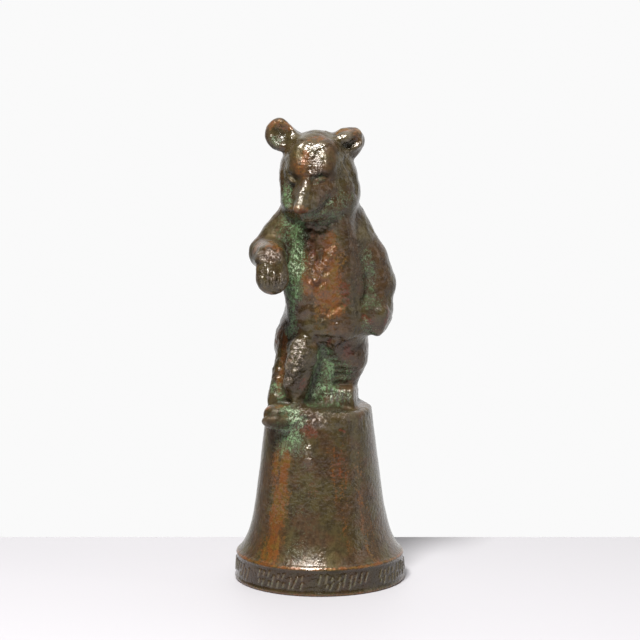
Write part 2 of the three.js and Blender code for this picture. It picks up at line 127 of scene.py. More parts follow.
class Limb:
    """Cone with round ends, from a to b."""

    def __init__(self, a, b, ra, rb=None):
        self.a, self.b = np.array(a, float), np.array(b, float)
        self.ra, self.rb = ra, ra if rb is None else rb
        self.low = np.minimum(self.a - self.ra, self.b - self.rb)
        self.high = np.maximum(self.a + self.ra, self.b + self.rb)

    def distance(self, x, y, z):
        v = self.b - self.a
        dx, dy, dz = x - self.a[0], y - self.a[1], z - self.a[2]
        t = np.clip((dx * v[0] + dy * v[1] + dz * v[2]) / (v @ v), 0, 1)
        off = np.sqrt((dx - t * v[0]) ** 2 + (dy - t * v[1]) ** 2 + (dz - t * v[2]) ** 2)
        return off - (self.ra + t * (self.rb - self.ra))


class Slab:
    """Box with round edges."""

    def __init__(self, at, half, edge, **turn):
        self.at, self.half, self.edge = np.array(at, float), np.array(half, float), edge
        self.axes = turned(**turn)
        reach = np.abs(self.axes) @ self.half
        self.low, self.high = self.at - reach, self.at + reach

    def distance(self, x, y, z):
        dx, dy, dz = x - self.at[0], y - self.at[1], z - self.at[2]
        out, most = 0.0, -FAR
        for a, h in zip(self.axes.T, self.half):
            q = np.abs(a[0] * dx + a[1] * dy + a[2] * dz) - (h - self.edge)
            out = out + np.maximum(q, 0) ** 2
            most = np.maximum(most, q)
        return np.sqrt(out) + np.minimum(most, 0) - self.edge


class Line:
    """Thin line through several points."""

    def __init__(self, path, thick):
        self.parts = [Limb(a, b, thick) for a, b in zip(path, path[1:])]
        self.low = np.min([part.low for part in self.parts], axis=0)
        self.high = np.max([part.high for part in self.parts], axis=0)

    def distance(self, x, y, z):
        return np.minimum.reduce([part.distance(x, y, z) for part in self.parts])


def smooth_min(a, b, blend):
    """The smaller of two distances, rounded off where they are nearly equal."""
    if blend <= 0:
        return np.minimum(a, b)
    h = np.maximum(blend - np.abs(a - b), 0) / blend
    return np.minimum(a, b) - h * h * blend * 0.25


class Field:
    """A block of space that solids are joined to and carved from."""

    def __init__(self):
        count = [int(np.ceil((high - low) / CELL)) + 1 for low, high in zip(BODY_LOW, BODY_HIGH)]
        self.axes = [low + CELL * np.arange(n) for low, n in zip(BODY_LOW, count)]
        self.d = np.full(count, FAR, np.float32)
        self.margin = 2.5 * CELL + 1.0

    def block(self, shape, reach):
        """The part of the block within reach of a shape, and its coordinates."""
        spans = zip(self.axes, shape.low, shape.high)
        cut = [slice(*np.searchsorted(ax, [low - reach, high + reach])) for ax, low, high in spans]
        return tuple(cut), np.ix_(*(ax[span] for ax, span in zip(self.axes, cut)))

    def join(self, shape, blend=0.0):
        cut, at = self.block(shape, blend + self.margin)
        self.d[cut] = smooth_min(self.d[cut], shape.distance(*at), blend)

    def carve(self, shape, blend=0.0):
        cut, at = self.block(shape, blend + self.margin)
        self.d[cut] = -smooth_min(-self.d[cut], shape.distance(*at), blend)

    def groove(self, a, b, depth, width, thick=THIN):
        """Presses a soft groove from a to b, or raises a ridge where the depth is negative."""
        self.press(Limb(a, b, thick), depth, width)

    def crease(self, path, depth, width):
        """Presses a soft groove through several points, as deep at its corners as between them."""
        self.press(Line(path, THIN), depth, width)

    def press(self, line, depth, width):
        cut, at = self.block(line, 3 * width)
        off = np.maximum(line.distance(*at), 0) / width
        self.d[cut] += depth * np.exp(-off ** 2)

    def merge(self, make, blend):
        other = Field()
        make(other)
        self.d = smooth_min(self.d, other.d, blend).astype(np.float32)


# Torso: a flat breast that turns sharply to slanted sides, sloping shoulders, rump and tail
def torso(f):
    belly = Slab(BELLY, (13.8, 13.2, 18), 9)
    chest = Slab(CHEST, (12.8, 12.2, 17), 9.5)
    collar = Ball((0.2, 5.5, 134), (13, 11.5, 9.5))
    lap = Ball((4.2, 2, 96), (11.8, 11.8, 9))
    right_shoulder = Limb((-8, 3.5, 133.2), (-15.4, 2, 125.8), 6.2, 5.8)
    left_shoulder = Limb((6.8, 4, 133.5), (11.5, 3.8, 126), 6.8, 6.6)
    rump = Ball(RUMP, (14, 9.5, 12.5))
    tail = Ball((1, 18.3, 86), (2.4, 2.2, 3.4))
    f.join(belly)
    f.join(chest, 6)
    f.join(collar, 6)
    f.join(lap, 5)
    f.join(right_shoulder, 4)
    f.join(left_shoulder, 4)
    f.join(rump, 6)
    f.join(tail, 3)


def breast(f):
    """The flat front stands a little proud of slanted planes that lead to the arms."""
    front = Slab((2.3, -5.6, 112), (8.8, 4.0, 22), 3.2, x=-2)
    left_slope = Slab((11.8, -3.4, 109), (7.0, 3.8, 19), 2.6, z=42, x=-2)
    right_hollow = Slab((-12.8, -10.3, 112), (7.4, 4, 17), 3, z=-38)
    f.join(left_slope, 3)
    f.join(front, 2.4)
    f.carve(right_hollow, 2.4)


# Head: skull, cheeks, neck, bowed forehead, wedge-shaped muzzle and lower jaw
def head(f):
    skull = Ball(SKULL, (12.6, 13, 13.8))
    left_cheek = Ball((7, 0.5, 145), (7.3, 9.5, 10.4), y=-10)
    right_cheek = Ball((-7.2, 1, 146.5), (7, 9, 11), y=2)
    neck = Ball((0, 3, 139.5), (12.4, 10.5, 8.5))
    forehead = Slab((-2.4, -6.4, 154.4), (8.4, 5.8, 7.6), 4.6, z=-8, x=-27)
    muzzle = Limb((-1.4, -8, 143.0), (-5.6, -16.4, 139.2), 6.6, 4.0)
    bridge = Slab((-6.1, -16.4, 143.8), (1.5, 2.2, 5.8), 0.7, z=-6, y=15, x=-36)
    muzzle_side = Slab((-1.2, -11.0, 142.3), (5.8, 3.0, 4.6), 1.2, z=36, x=14)
    jowl = Ball((-6.8, -4, 139.6), (7.2, 7.6, 6.2))
    jaw = Limb((1.8, -6.5, 138.6), (-4.8, -15, 136.9), 5.9, 3.4)
    throat = Limb((6.0, -4.6, 138), (6.6, -4.4, 127), 4.8, 4.8)
    f.join(skull)
    f.join(left_cheek, 4)
    f.join(right_cheek, 4)
    f.join(neck, 5)
    f.join(forehead, 3)
    f.join(muzzle, 4)
    f.join(muzzle_side, 2.6)
    f.join(bridge, 1.4)
    f.join(Ball(NOSE, (2.2, 2.1, 1.9), z=-12), 0.8)
    f.join(jowl, 3)
    f.carve(Slab((-12.9, -14.5, 143.8), (3, 5, 5.4), 0.8, z=-8), 1)
    f.join(jaw, 2)
    f.join(throat, 6)


# Ears: a thick leaf with a cup in its front, and a root that carries it
def ears(f):
    right = dict(z=-26, x=-10, y=8)
    right_leaf = Ball(EAR_RIGHT, (6.5, 3.6, 6.1), **right)
    right_root = Limb((-12, 3, 162), (-6.5, 4.5, 159.2), 4.8)
    right_cup = Ball((-13.4, -1.6, 164.2), (4.5, 2.9, 4.0), **right)
    f.join(right_leaf)
    f.join(right_root, 2.5)
    f.carve(right_cup, 2.2)
    f.carve(Slab((-7.75, 2, 168.1), (6, 6, 3), 1, y=45), 1.5)
    f.groove((-14.3, -0.6, 167.2), (-10.4, -1.6, 161.6), -0.9, 0.9)
    left_leaf = Ball(EAR_LEFT, (7.0, 3.5, 5.2), z=30, x=-14, y=-8)
    left_roll = Limb((4.2, -2.6, 160.9), (9.4, -2.2, 162.4), 1.9, 2.1)
    left_tip = Limb((9.4, -2.0, 162.2), (12.9, 1.5, 163.2), 2.2, 2.4)
    left_root = Limb((9, 3.5, 160), (4, 4.5, 158), 4.4, 4.6)
    left_lobe = Ball((11.2, 1.6, 157.4), (2.8, 2.0, 3.0), z=24)
    left_rim = Limb((8.4, -1.0, 156.4), (14.0, -0.2, 160.4), 1.5, 1.7)
    left_cup = Limb((6.2, -3.5, 158.9), (13.2, -1.9, 161.0), 0.9, 1.1)
    f.join(left_leaf)
    f.join(left_tip, 1.5)
    f.join(left_roll, 1.2)
    f.join(left_root, 2.5)
    f.join(left_lobe, 1.6)
    f.join(left_rim, 1.2)
    f.carve(left_cup, 1.4)


# Face: brows, closed eyes, mouth and the ruff round the cheek
def face(f):
    left_socket = Ball((-0.2, -14.8, 149.5), (2.8, 1.7, 0.7), z=14, y=-22)
    left_lid = Ball((-0.3, -12.6, 148.4), (2.3, 1.0, 0.9), z=18, y=-16)
    right_socket = Ball((-10.4, -11.0, 149.2), (2.4, 1.4, 1.0), z=-40, y=18)
    right_lid = Ball((-10.5, -9.8, 148.1), (2.0, 0.8, 0.6), z=-44, y=26)
    f.groove((-3.4, -13.6, 151.4), (3.4, -12.4, 153), -0.5, 1.6)
    f.groove((-12.4, -6.6, 151), (-8, -11.8, 150.4), -0.4, 1.4)
    f.carve(right_socket, 2)
    f.carve(left_socket, 1.2)
    f.join(left_lid, 0.8)
    f.join(right_lid, 1.0)
    f.crease([(-3.3, -14.7, 149.2), (0.7, -13.5, 150.7), (2.6, -12.7, 150.0)], 1.1, 0.5)
    f.crease([(-2.6, -14.3, 148.0), (-0.2, -13.5, 147.2), (2.0, -12.6, 148.2)], 0.4, 0.5)
    mouth = [(-7.4, -20.4, 137.2), (-4.8, -19.6, 136.9), (-2.6, -18.4, 137.2),
             (-0.6, -15.7, 138), (1.8, -13.8, 139.7), (3.6, -12.5, 141.4)]
    f.crease(mouth, 0.9, 0.55)
    f.groove((-11.8, -8.4, 145.2), (-11.4, -9.6, 140.4), 1.1, 1.5)
    f.groove((-14, -3.4, 150), (-13.6, -3.6, 142), -0.5, 0.9)
    ruff = [(9.2, -5.5, 154.2), (10.8, -5.6, 150), (12.7, -4.5, 145), (11.9, -4.5, 142.2),
            (9.6, -6.6, 138.6), (7.6, -8.9, 136.0)]
    f.crease(ruff, 0.9, 1.0)


# The bear's right arm is raised, with the paw hanging from the wrist
def right_arm(f):
    upper = Limb((-9.6, 2.5, 132), (-19.8, -0.5, 121.4), 6, 5.2)
    fore = Limb(ELBOW_RIGHT, WRIST_RIGHT, 5.1, 4.8)
    cuff = Limb((-17.4, -8, 121.6), WRIST_RIGHT, 4.8, 4.8)
    paw = Ball((-17, -19.8, 115.9), (5.7, 4.4, 7.4), x=-8)
    fingers = Ball((-16.9, -20.4, 113.6), (5.6, 4.2, 4.6))
    f.join(upper)
    f.join(fore, 3)
    f.join(cuff, 3)
    f.join(paw, 2.5)
    f.join(fingers, 2)


def claws(f):
    """Four low ridges, each with a deep groove beside it."""
    for i in range(4):
        ridge = CLAW_X + CLAW_PITCH * i
        gap = ridge + 1.2
        f.groove((gap, -24.6, 117.6), (gap, -24.4, 112.0), 1.3, 0.5)
        f.groove((ridge, -24.8, 116.4), (ridge, -24.6, 112.6), -0.7, 0.6)


# The left arm hangs against the side, its hand laid on the hip
def left_arm(f):
    upper = Limb((9.4, 4, 131.6), (17.2, 4, 117), 7.6, 7.2)
    elbow = Limb((17.2, 4, 117), ELBOW_LEFT, 7.2, 6.4)
    fore = Limb(ELBOW_LEFT, WRIST_LEFT, 6.4, 5.2)
    hand = Slab((19.6, -0.6, 96.8), (5.0, 5.2, 5.6), 2.4, z=-10, y=14, x=10)
    thumb = Limb((18.6, -1.6, 101), (16, -3, 96), 4.2, 3.4)
    f.join(upper)
    f.join(elbow, 3)
    f.join(fore, 4)
    f.join(hand, 4)
    f.join(thumb, 2.5)


# The right leg steps forward: thigh, shin with its rough ridge, outer calf and foot
def stepping_leg(f):
    thigh = Ball((-6.1, 4, 86.6), (10.7, 10.5, 12.5), y=6)
    knee = Limb((-5.4, 0, 86.6), KNEE_RIGHT, 7.0, 5.6)
    inner_calf = Limb((-6.0, -7.6, 83), (-8.9, -7.6, 70.4), 4.8, 4.5)
    shin = Limb((-7.0, -11, 88.0), (-10.9, -10.2, 74), 3.1, 2.8)
    shin_plate = Slab((-8.5, -12.1, 84.3), (2.8, 2.1, 6.0), 1.6, y=17, x=-14)
    shin_tip = Limb((-9.4, -12.2, 80.5), (-11.3, -11.6, 75.4), 2.6, 1.7)
    outer_calf = Limb((-11.8, -1, 84), (-15.0, -5.5, 67), 4.1, 4.3)
    heel = Limb((-13.6, -6.5, 64.6), (-14.8, -11, 62.8), 4.4, 3.8)
    foot = Ball(FOOT_RIGHT, (5.3, 5.4, 3.8), x=10)
    pad = Ball((-15.7, -16.9, 61.5), (5.4, 2.9, 3.1), x=6)
    f.join(thigh)
    f.join(knee, 4)
    f.join(inner_calf, 3)
    f.join(shin, 2)
    f.join(shin_tip, 2.4)
    f.join(shin_plate, 2.0)
    f.join(outer_calf, 1.2)
    f.join(heel, 2)
    f.join(foot, 0.8)
    f.carve(Ball((-15.6, -20.6, 65.2), (4.6, 2.6, 2.2), x=-6), 0.6)
    f.join(pad, 0.3)


# The left leg stands, with its toes side by side
def standing_leg(f):
    thigh = Ball((9, 4.5, 87), (8.6, 10, 11.5), y=-4)
    shin = Limb((10, 2, 81), (8, 3.6, 71.5), 7.2, 5.4)
    foot = Slab(FOOT_LEFT, (5.6, 7.0, 4.6), 3.2)
    toe_root = Slab((7.4, -3.3, 67.0), (5.1, 2.5, 4.4), 1.2, x=-20)
    heel = Ball((8, 9, 67.2), (6, 4.6, 5.6))
    f.join(thigh)
    f.join(shin, 3)
    f.join(foot, 2.4)
    f.join(heel, 2.4)
    f.join(toe_root, 1.6)
    for i in range(5):
        x = TOE_X + TOE_PITCH * i
        gap = x + TOE_PITCH / 2
        f.join(Limb((x, -5.0, 70.2), (x, -6.6, 65.8), 1.15, 1.35), 0.35)
        f.groove((gap, -6.2, 71.4), (gap, -8, 66), 1.5, 0.5)


# Metal left standing between the legs, and the rough ground under the feet
def web(f):
    back = Limb((2, 5.4, 84), (-0.6, 4.4, 66), 6.8, 7.4)
    right_back = Limb((-7, 2.6, 81), (-9.4, -0.6, 66.5), 6, 5.6)
    groin = Limb((5, -5, 92), (4.6, -4.2, 86.6), 4.2, 2.6)
    front = Limb((2.6, 0.4, 85), (-1.6, -1.6, 70), 4.6, 5.0)
    crest = Limb((3.8, -1.6, 80), (-0.6, -3.2, 67), 2.4, 2.8)
    ground = Slab((-3.4, -5, 63.2), (10, 10, 3.6), 3, y=8, x=12)
    clump = Limb((-9.0, -14.4, 62.3), (-1.4, -15.8, 62.2), 3.7, 3.1)
    small_clump = Ball((4, -13.4, 62.2), (4.6, 4.8, 2.4), y=-4, x=14)
    f.join(back, 4)
    f.join(right_back, 4)
    f.join(groin, 3)
    f.join(front, 4)
    f.join(crest, 3)
    f.join(ground, 3)
    f.join(clump, 2)
    f.join(small_clump, 2)


def creases(f):
    """Folds and ridges of the chest, belly, sides, legs and feet, then of the throat and the back."""
    f.groove((-6.2, -8.9, 129), (-4.0, -9.2, 125.6), -0.9, 1.3)
    f.groove((-4.0, -9.2, 125.6), (-0.6, -10.1, 113), -1.5, 1.1)
    f.groove((4.2, -9.6, 122.5), (-0.4, -10.1, 114), -1.2, 1.0)
    f.groove((0.2, -9.4, 123), (-0.2, -10, 117.6), 0.9, 1.2)
    f.groove((0.2, -9.8, 108), (6, -9.8, 108.4), -0.4, 1.1)
    f.groove((3.6, -9.9, 101), (7, -10, 102.6), 0.4, 1.0)
    f.groove((7, -10, 102.6), (12.4, -8.8, 101.8), 0.4, 1.0)
    f.groove((-1, -9.6, 91.4), (2.4, -9.8, 90.4), 0.6, 0.9)
    f.groove((2.4, -9.8, 90.4), (6.4, -9.6, 91.2), 0.4, 0.9)
    f.groove((12.2, -6, 91), (6, -7.5, 86), 0.9, 1.3)
    f.groove((4.6, -8.4, 89.6), (5, -7.6, 86.6), -1.0, 1.1, 0.6)
    f.groove((14.6, -3.6, 121), (16.4, -3, 112), 0.35, 1.4)
    f.groove((16.4, -3, 112), (15.4, -4.5, 95), 0.4, 1.2)
    f.groove((-12.2, -8.6, 91), (-13.2, -10.5, 80), 1.3, 1.0)
    f.groove((-13.2, -10.5, 80), (-15.4, -10, 71), 1.0, 1.1)
    f.groove((3.8, -4.4, 81), (12.6, -4.0, 80.6), 0.6, 0.7)
    f.groove((4.6, -3.8, 78.6), (12.6, -3.2, 78.2), 0.6, 0.7)
    f.groove((5.6, -3.4, 76.4), (12.8, -2.6, 75.8), 0.6, 0.7)
    f.groove((3.4, -3.4, 72.6), (12.4, -2.8, 72.8), 0.4, 0.6)
    f.groove((-20, -9, 66.6), (-11.4, -10.6, 67.2), 0.9, 0.9)
    f.groove((-20, -15.6, 63.8), (-11.6, -17.8, 63.9), 0.8, 0.7)
    f.groove((-10.4, -16, 60.4), (-10.2, -13, 65.6), 0.8, 0.8)
    f.crease([(-5.4, -14.4, 133.6), (1.4, -12.2, 132.6), (5.0, -10.4, 133.6)], 0.7, 0.8)
    f.groove((-2.4, -10.6, 129.8), (6.0, -9.6, 131.4), 0.3, 0.8)
    f.groove((0.6, 16.8, 130), (1, 18.6, 96), 0.8, 2.2)
    f.groove((0.4, 13.6, 83), (0, 12.4, 64), 1.8, 2.4)


# Bell: a band at the mouth, a flare, a straight taper and a rounded shoulder
def bell_radius(z):
    line = WAIST_RADIUS - WAIST_TAPER * (z - WAIST_Z)
    return line + FLARE * np.exp(-(z - FLARE_Z) / FLARE_LENGTH)


def bell_lean(z):
    return BELL_LEAN_X * z / BELL_HEIGHT


def bell_top(f):
    """The top of the bell, in the same block of space as the bear, so that the two flow together."""
    x, y, z = np.ix_(*f.axes)
    out = np.hypot(x - bell_lean(z), y)
    side = out - bell_radius(z) + TUCK * np.maximum(JOIN_Z - z, 0)
    top = z - BELL_HEIGHT
    beyond = [np.maximum(part + SHOULDER_ROUND, 0) for part in (side, top)]
    corner = np.hypot(*beyond) - SHOULDER_ROUND
    solid = np.maximum(corner, np.minimum(np.maximum(side, top), 0))
    hollow = np.maximum(out - (bell_radius(z) - WALL), z - (BELL_HEIGHT - WALL))
    f.d = smooth_min(f.d, solid, 2.0)
    f.d = np.maximum(f.d, -hollow)
    f.d = np.maximum(f.d, JOIN_Z - LAP - z).astype(np.float32)


def sculpt():
    f = Field()
    torso(f)
    breast(f)
    f.merge(stepping_leg, 3)
    f.merge(standing_leg, 3)
    f.merge(web, 3)
    f.merge(head, 2.5)
    f.merge(ears, 1.5)
    f.merge(left_arm, 1.6)
    f.merge(right_arm, 2.4)
    face(f)
    claws(f)
    creases(f)
    bell_top(f)
    return f


# The surface of a field: a point in each cell that it crosses, a quad round each grid edge that it crosses
def crossing_points(d, cells):
    total = np.zeros((len(cells), 3))
    hits = np.zeros(len(cells))
    for axis in range(3):
        step = np.eye(3, dtype=int)[axis]
        for u, v in np.ndindex(2, 2):
            start = cells + u * np.roll(step, 1) + v * np.roll(step, 2)
            a, b = d[tuple(start.T)], d[tuple((start + step).T)]
            cross = (a < 0) != (b < 0)
            point = start[cross].astype(float)
            point[:, axis] += a[cross] / (a[cross] - b[cross])
            total[cross] += point
            hits[cross] += 1
    return total / hits[:, None]


def surface(f):
    inside = f.d < 0
    count = np.zeros([n - 1 for n in inside.shape], np.int8)
    for i, j, k in np.ndindex(2, 2, 2):
        count += inside[i:i + count.shape[0], j:j + count.shape[1], k:k + count.shape[2]]
    cells = np.argwhere((count > 0) & (count < 8))
    ids = np.full(count.shape, -1)
    ids[tuple(cells.T)] = np.arange(len(cells))
    points = crossing_points(f.d, cells) * CELL + np.array(BODY_LOW)
    quads = []
    for axis in range(3):
        low = [slice(1, -1)] * 3
        high = [slice(1, -1)] * 3
        low[axis], high[axis] = slice(0, -1), slice(1, None)
        at = np.argwhere(inside[tuple(low)] != inside[tuple(high)]) + 1
        at[:, axis] -= 1
        back_a, back_b = np.eye(3, dtype=int)[[(axis + 1) % 3, (axis + 2) % 3]]
        ring = [at - back_a - back_b, at - back_b, at, at - back_a]
        quad = np.stack([ids[tuple(c.T)] for c in ring], 1)
        away = ~inside[tuple(at.T)]
        quad[away] = quad[away][:, ::-1]
        quads.append(quad)
    return points, np.concatenate(quads)


# Helpers on meshes of quads
def corner_sum(values, quads, count):
    out = np.zeros((count, 3))
    for k, c in np.ndindex(4, 3):
        out[:, c] += np.bincount(quads[:, k], values[:, c], count)
    return out


def normals_of(points, quads):
    cross = np.cross(points[quads[:, 2]] - points[quads[:, 0]], points[quads[:, 3]] - points[quads[:, 1]])
    n = corner_sum(cross, quads, len(points))
    return n / np.maximum(np.linalg.norm(n, axis=1, keepdims=True), 1e-12)


def relaxed(points, quads, rounds, amount):
    """Evens out the steps of the grid."""
    share = np.bincount(quads.ravel(), minlength=len(points))[:, None]
    for _ in range(rounds):
        mean = corner_sum(points[quads].mean(1), quads, len(points)) / share
        points = points + (mean - points) * amount
    return points


# Noise
def between_points(grid, low, t):
    """Values of a grid that repeats itself, mixed from the eight points round each place."""
    out = np.zeros(len(t))
    for corner in np.ndindex(2, 2, 2):
        at = (low + corner) % grid.shape
        out += np.prod(np.where(corner, t, 1 - t), axis=1) * grid[at[:, 0], at[:, 1], at[:, 2]]
    return out


def value_noise(points, size, seed):
    """Smooth noise from -1 to 1 with features of about the given size in millimetres."""
    table = np.random.default_rng(seed).uniform(-1, 1, (32, 32, 32))
    q = points / size + 1000.0
    low = np.floor(q).astype(int)
    t = q - low
    return between_points(table, low, t * t * t * (t * (t * 6 - 15) + 10))


def cloud(points, size, seed, octaves=3):
    """Noise with finer noise on top of it, from about -1 to 1."""
    return sum(value_noise(points, size / 2 ** i, seed + i) / 2 ** i for i in range(octaves)) / 1.4


def drifted(points, size, reach, seed):
    """Points moved about by noise, so that a mask made from them has a ragged edge."""
    return points + reach * np.stack([cloud(points, size, seed + 5 * i) for i in range(3)], 1)


# Square millimetres of surface to each of its points
POINT_AREA = 0.27


def tool_marks(points, size, seed):
    """Dabs of the modelling tool: small planes tilted at random, domed a little, in millimetres."""
    rng = np.random.default_rng(seed)
    count = int(len(points) * POINT_AREA / size ** 2)
    seeds = points[rng.permutation(len(points))[:count]]
    tilt = rng.normal(0, 1, seeds.shape)
    tree = KDTree(count)
    for i, at in enumerate(seeds):
        tree.insert(at, i)
    tree.balance()
    out = np.zeros(len(points))
    for n, at in enumerate(points):
        (_, i, first), (_, _, second) = tree.find_n(at, 2)
        inner = min((second - first) / (0.35 * size), 1.0)
        out[n] = ((at - seeds[i]) @ tilt[i]) * inner - 0.5 * first * first / size
    return out


def smooth_step(x, low, high):
    t = np.clip((x - low) / (high - low), 0, 1)
    return t * t * (3 - 2 * t)


def streak(points, a, b, reach, strength=1.0):
    """A soft mask round the line from a to b, full inside a fifth of its reach."""
    a, b = np.array(a, float), np.array(b, float)
    v = b - a
    t = np.clip((points - a) @ v / max(v @ v, 1e-9), 0, 1)
    off = np.linalg.norm(points - a - t[:, None] * v, axis=1)
    return strength * (1 - smooth_step(off, 0.2 * reach, reach))


def swell(x, middle, half):
    """A soft mask round a middle value."""
    return np.exp(-((x - middle) / half) ** 2)


def strongest(*masks):
    return np.maximum.reduce(masks)


def marked(points, places):
    """A mask of named places, each a streak: from, to, reach and strength."""
    return strongest(*(streak(points, *place) for place in places.values()))


# How crowded each point is by metal: above one half in a hollow, below it on an edge
def crowding(f, points, reach):
    solid = (f.d < 0).astype(np.float32)
    half = max(int(round(reach / CELL)), 1)
    wide = 2 * half + 1
    for axis in range(3):
        for _ in range(2):
            pad = [(half + 1, half) if n == axis else (0, 0) for n in range(3)]
            total = np.cumsum(np.pad(solid, pad, mode="edge"), axis=axis)
            count = solid.shape[axis]
            ahead = np.take(total, np.arange(wide, wide + count), axis=axis)
            solid = (ahead - np.take(total, np.arange(count), axis=axis)) / wide
    q = (points - np.array(BODY_LOW)) / CELL
    low = np.clip(np.floor(q).astype(int), 0, np.array(solid.shape) - 2)
    return between_points(solid, low, q - low)


# Where the modelling is roughest
LEAST_ROUGH = 0.16
ROUGH = dict(
    forehead=((-3.4, -13, 159), (-1.0, -14, 153), 5, 0.85),
    chin=((-3, -12, 132), (5, -10, 132.6), 4, 0.8),
    bridge=((-5.6, -15, 147), (-7, -21, 142), 3, 0.5),
    wrist=((-20, -20, 122), (-15, -20, 122), 6, 1.2),
    keel=((-4.6, -9, 128), (-0.6, -11, 112), 6),
    claws=((-21, -24, 117), (-14.6, -24, 114), 3.6, 0.45),
    keel_left=((3.6, -10, 122), (-0.4, -11, 113), 5),
    front=((4, -10, 118), (3, -10, 98), 10, 0.45),
    breast_side=((-8, -7, 128), (-10, -7, 108), 5, 0.5),
    shin=((-6.6, -14, 87.4), (-9.5, -14, 79), 6, 1.05),
    clumps=((-10, -15, 65), (0, -17, 63), 6, 1.5),
    crumbs=((2, -14, 64), (10, -13, 64), 4, 0.6),
    web=((2, -6, 82), (-1, -7, 68), 5, 0.45),
    calf=((-16, -3, 90), (-17, -6, 74), 4, 0.5),
    groin=((-1, -9, 92), (6, -9, 88), 4, 0.5),
    ear_right=((-14, 0, 164), (-11, 0, 162), 4, 0.4),
    ear_left=((6, -2, 162), (12, 0, 159), 4, 0.5),
)


def roughness(p):
    smooth_toes = 1 - streak(p, (4.4, -7, 70.4), (11.6, -7, 68), 4.2, 0.95)
    return smooth_toes * np.maximum(marked(p, ROUGH), LEAST_ROUGH)


# Patina of the bear: green where damp lay, warm brown where it was handled, red where the copper shows
GREEN = dict(
    throat=((-7, -8, 134), (4, -12, 133), 4, 0.5),
    breast_side=((-7.6, -7, 130), (-9.8, -7, 106), 6, 1.15),
    waist=((-9.8, -6, 108), (-10.4, -6, 93), 4, 0.85),
    shoulder=((-11, -4, 134), (-12.6, -4, 127), 5, 0.5),
    cheek_right=((-12.2, -7, 145), (-12.6, -8, 140), 4, 0.8),
    cheek_left=((2, -14, 141), (10, -8, 141), 4.4, 0.32),
    jaw=((-4, -19, 136), (6, -11, 136), 3.6, 0.5),
    eye=((-1.6, -13.8, 148.2), (1, -13.4, 148.6), 2, 0.36),
    arm_left=((16, -4, 120), (18.6, -5, 102), 5, 0.4),
    hand_left=((15.6, -6, 94), (18, -5, 92), 3.5, 0.5),
    web=((0.6, -7, 84), (-2, -7, 68), 6.5),
    web_left=((3.6, -5, 80), (4, -5, 72), 5, 0.9),
    ankle=((7, -4, 80), (10, -4, 76), 5, 0.6),
    toes=((2, -7, 69), (12, -6, 68), 4.4, 0.34),
    ground=((-2, -8, 66.6), (6, -8, 66.6), 3.6, 0.4),
    clumps=((-11.4, -16, 66), (-7, -18.6, 62), 4.6, 0.85),
    shoulder_run=((-10, -18, 62), (-12, -19, 55), 4, 0.8),
    calf=((-16.5, -7, 72), (-14, -9, 68), 4, 0.7),
    cup_right=((-17.4, 0, 161.4), (-15.5, 0, 160), 3, 0.6),
)
WARM = dict(
    breast=((1, -10, 124), (3, -10, 104), 10),
    breast_right=((-5.2, -9, 121), (-4.6, -9, 109), 4.4, 0.95),
    lap=((2, -10, 104), (2, -10, 96), 9, 0.4),
    forehead=((-6.6, -12, 158), (-5.6, -14, 151), 4.5, 0.55),
    crown=((-4, -8, 164), (4, -8, 164), 4, 0.6),
    nose=((-9, -21.6, 138.6), (-6, -22, 138.8), 4, 1.2),
    ear_right=((-18, 2, 167), (-11, 1, 167), 3.5, 0.8),
    ear_left=((8, 0, 165), (14, 1, 164), 3, 0.9),
    cuff=((-23, -8, 123.4), (-16, -18, 126), 5, 0.75),
    paw_rim=((-22, -20, 114), (-17, -22, 108), 3, 0.6),
    hip_strip=((-13, -5, 92), (-13.5, -8, 76), 3),
    hip=((-15, 0, 96), (-15, 0, 88), 5, 0.5),
    calf=((-13.6, -8, 76), (-15.8, -9, 71), 3, 0.9),
    foot_rim=((-19.6, -14, 65), (-13, -15, 66.4), 2.4, 0.9),
    thigh=((9, -6, 90), (11, -5, 84), 5, 0.4),
)
RED = dict(
    thigh=((9.5, -6, 89), (11, -5.5, 84), 2.4, 0.8),
    groin=((4, -8.5, 90), (4, -8.5, 86.6), 1.8),
    nose=((-8.4, -22, 138.6), (-5.6, -22, 138.8), 3, 0.7),
    chin=((0, -13, 132.4), (3, -12, 132.4), 1.8, 0.7),
    thumb=((15.6, -6.5, 96.4), (17.4, -6, 95), 2.6),
    hand=((24.6, -5, 101), (24.2, -5, 95.5), 1.8),
    below_clumps=((-7, -19, 59), (-1, -19.6, 57.4), 3, 0.7),
    shoulder=((7.4, -18, 58.8), (8.6, -17.5, 57.6), 1.8),
    ankle=((-12.8, -10.5, 68.4), (-12, -10.8, 67.6), 1.8),
    keel=((-2.4, -10.4, 122), (-1.4, -10.6, 119), 2.2, 0.8),
    front=((9.4, -10, 110), (9.8, -10, 104), 3, 0.8),
    shin=((-10.6, -13.6, 82), (-10.8, -13, 79), 2.2, 0.8),
    calf=((-6, -12, 76), (-5.6, -12, 72), 2.2, 0.7),
)


def stripe(p, middle, half, low, high, fade=5.0):
    """A mask that runs down the bell, by its angle from the front and its height."""
    turn = np.degrees(np.arctan2(p[:, 0], -p[:, 1]))
    inside = smooth_step(p[:, 2], low - fade, low) * (1 - smooth_step(p[:, 2], high, high + fade))
    return swell(turn, middle, half) * inside


# Patina of the bell, in stripes that run down it
def bell_warm(q):
    runs = cloud(q * (1, 1, 0.12), 3.0, SEED + 60)
    left = strongest(1.25 * stripe(q, -41, 10, 12, 53), 0.55 * stripe(q, -52, 8, 8, 20))
    middle = strongest(0.5 * stripe(q, 21, 14, 34, 50), 0.45 * stripe(q, 23, 7, 16, 42))
    right = 0.6 * stripe(q, 43, 7, 12, 48)
    back = strongest(0.6 * stripe(q, 120, 14, 12, 50), 0.7 * stripe(q, -140, 12, 12, 52))
    return strongest(left, middle, right, back) * (0.85 + 0.3 * runs)


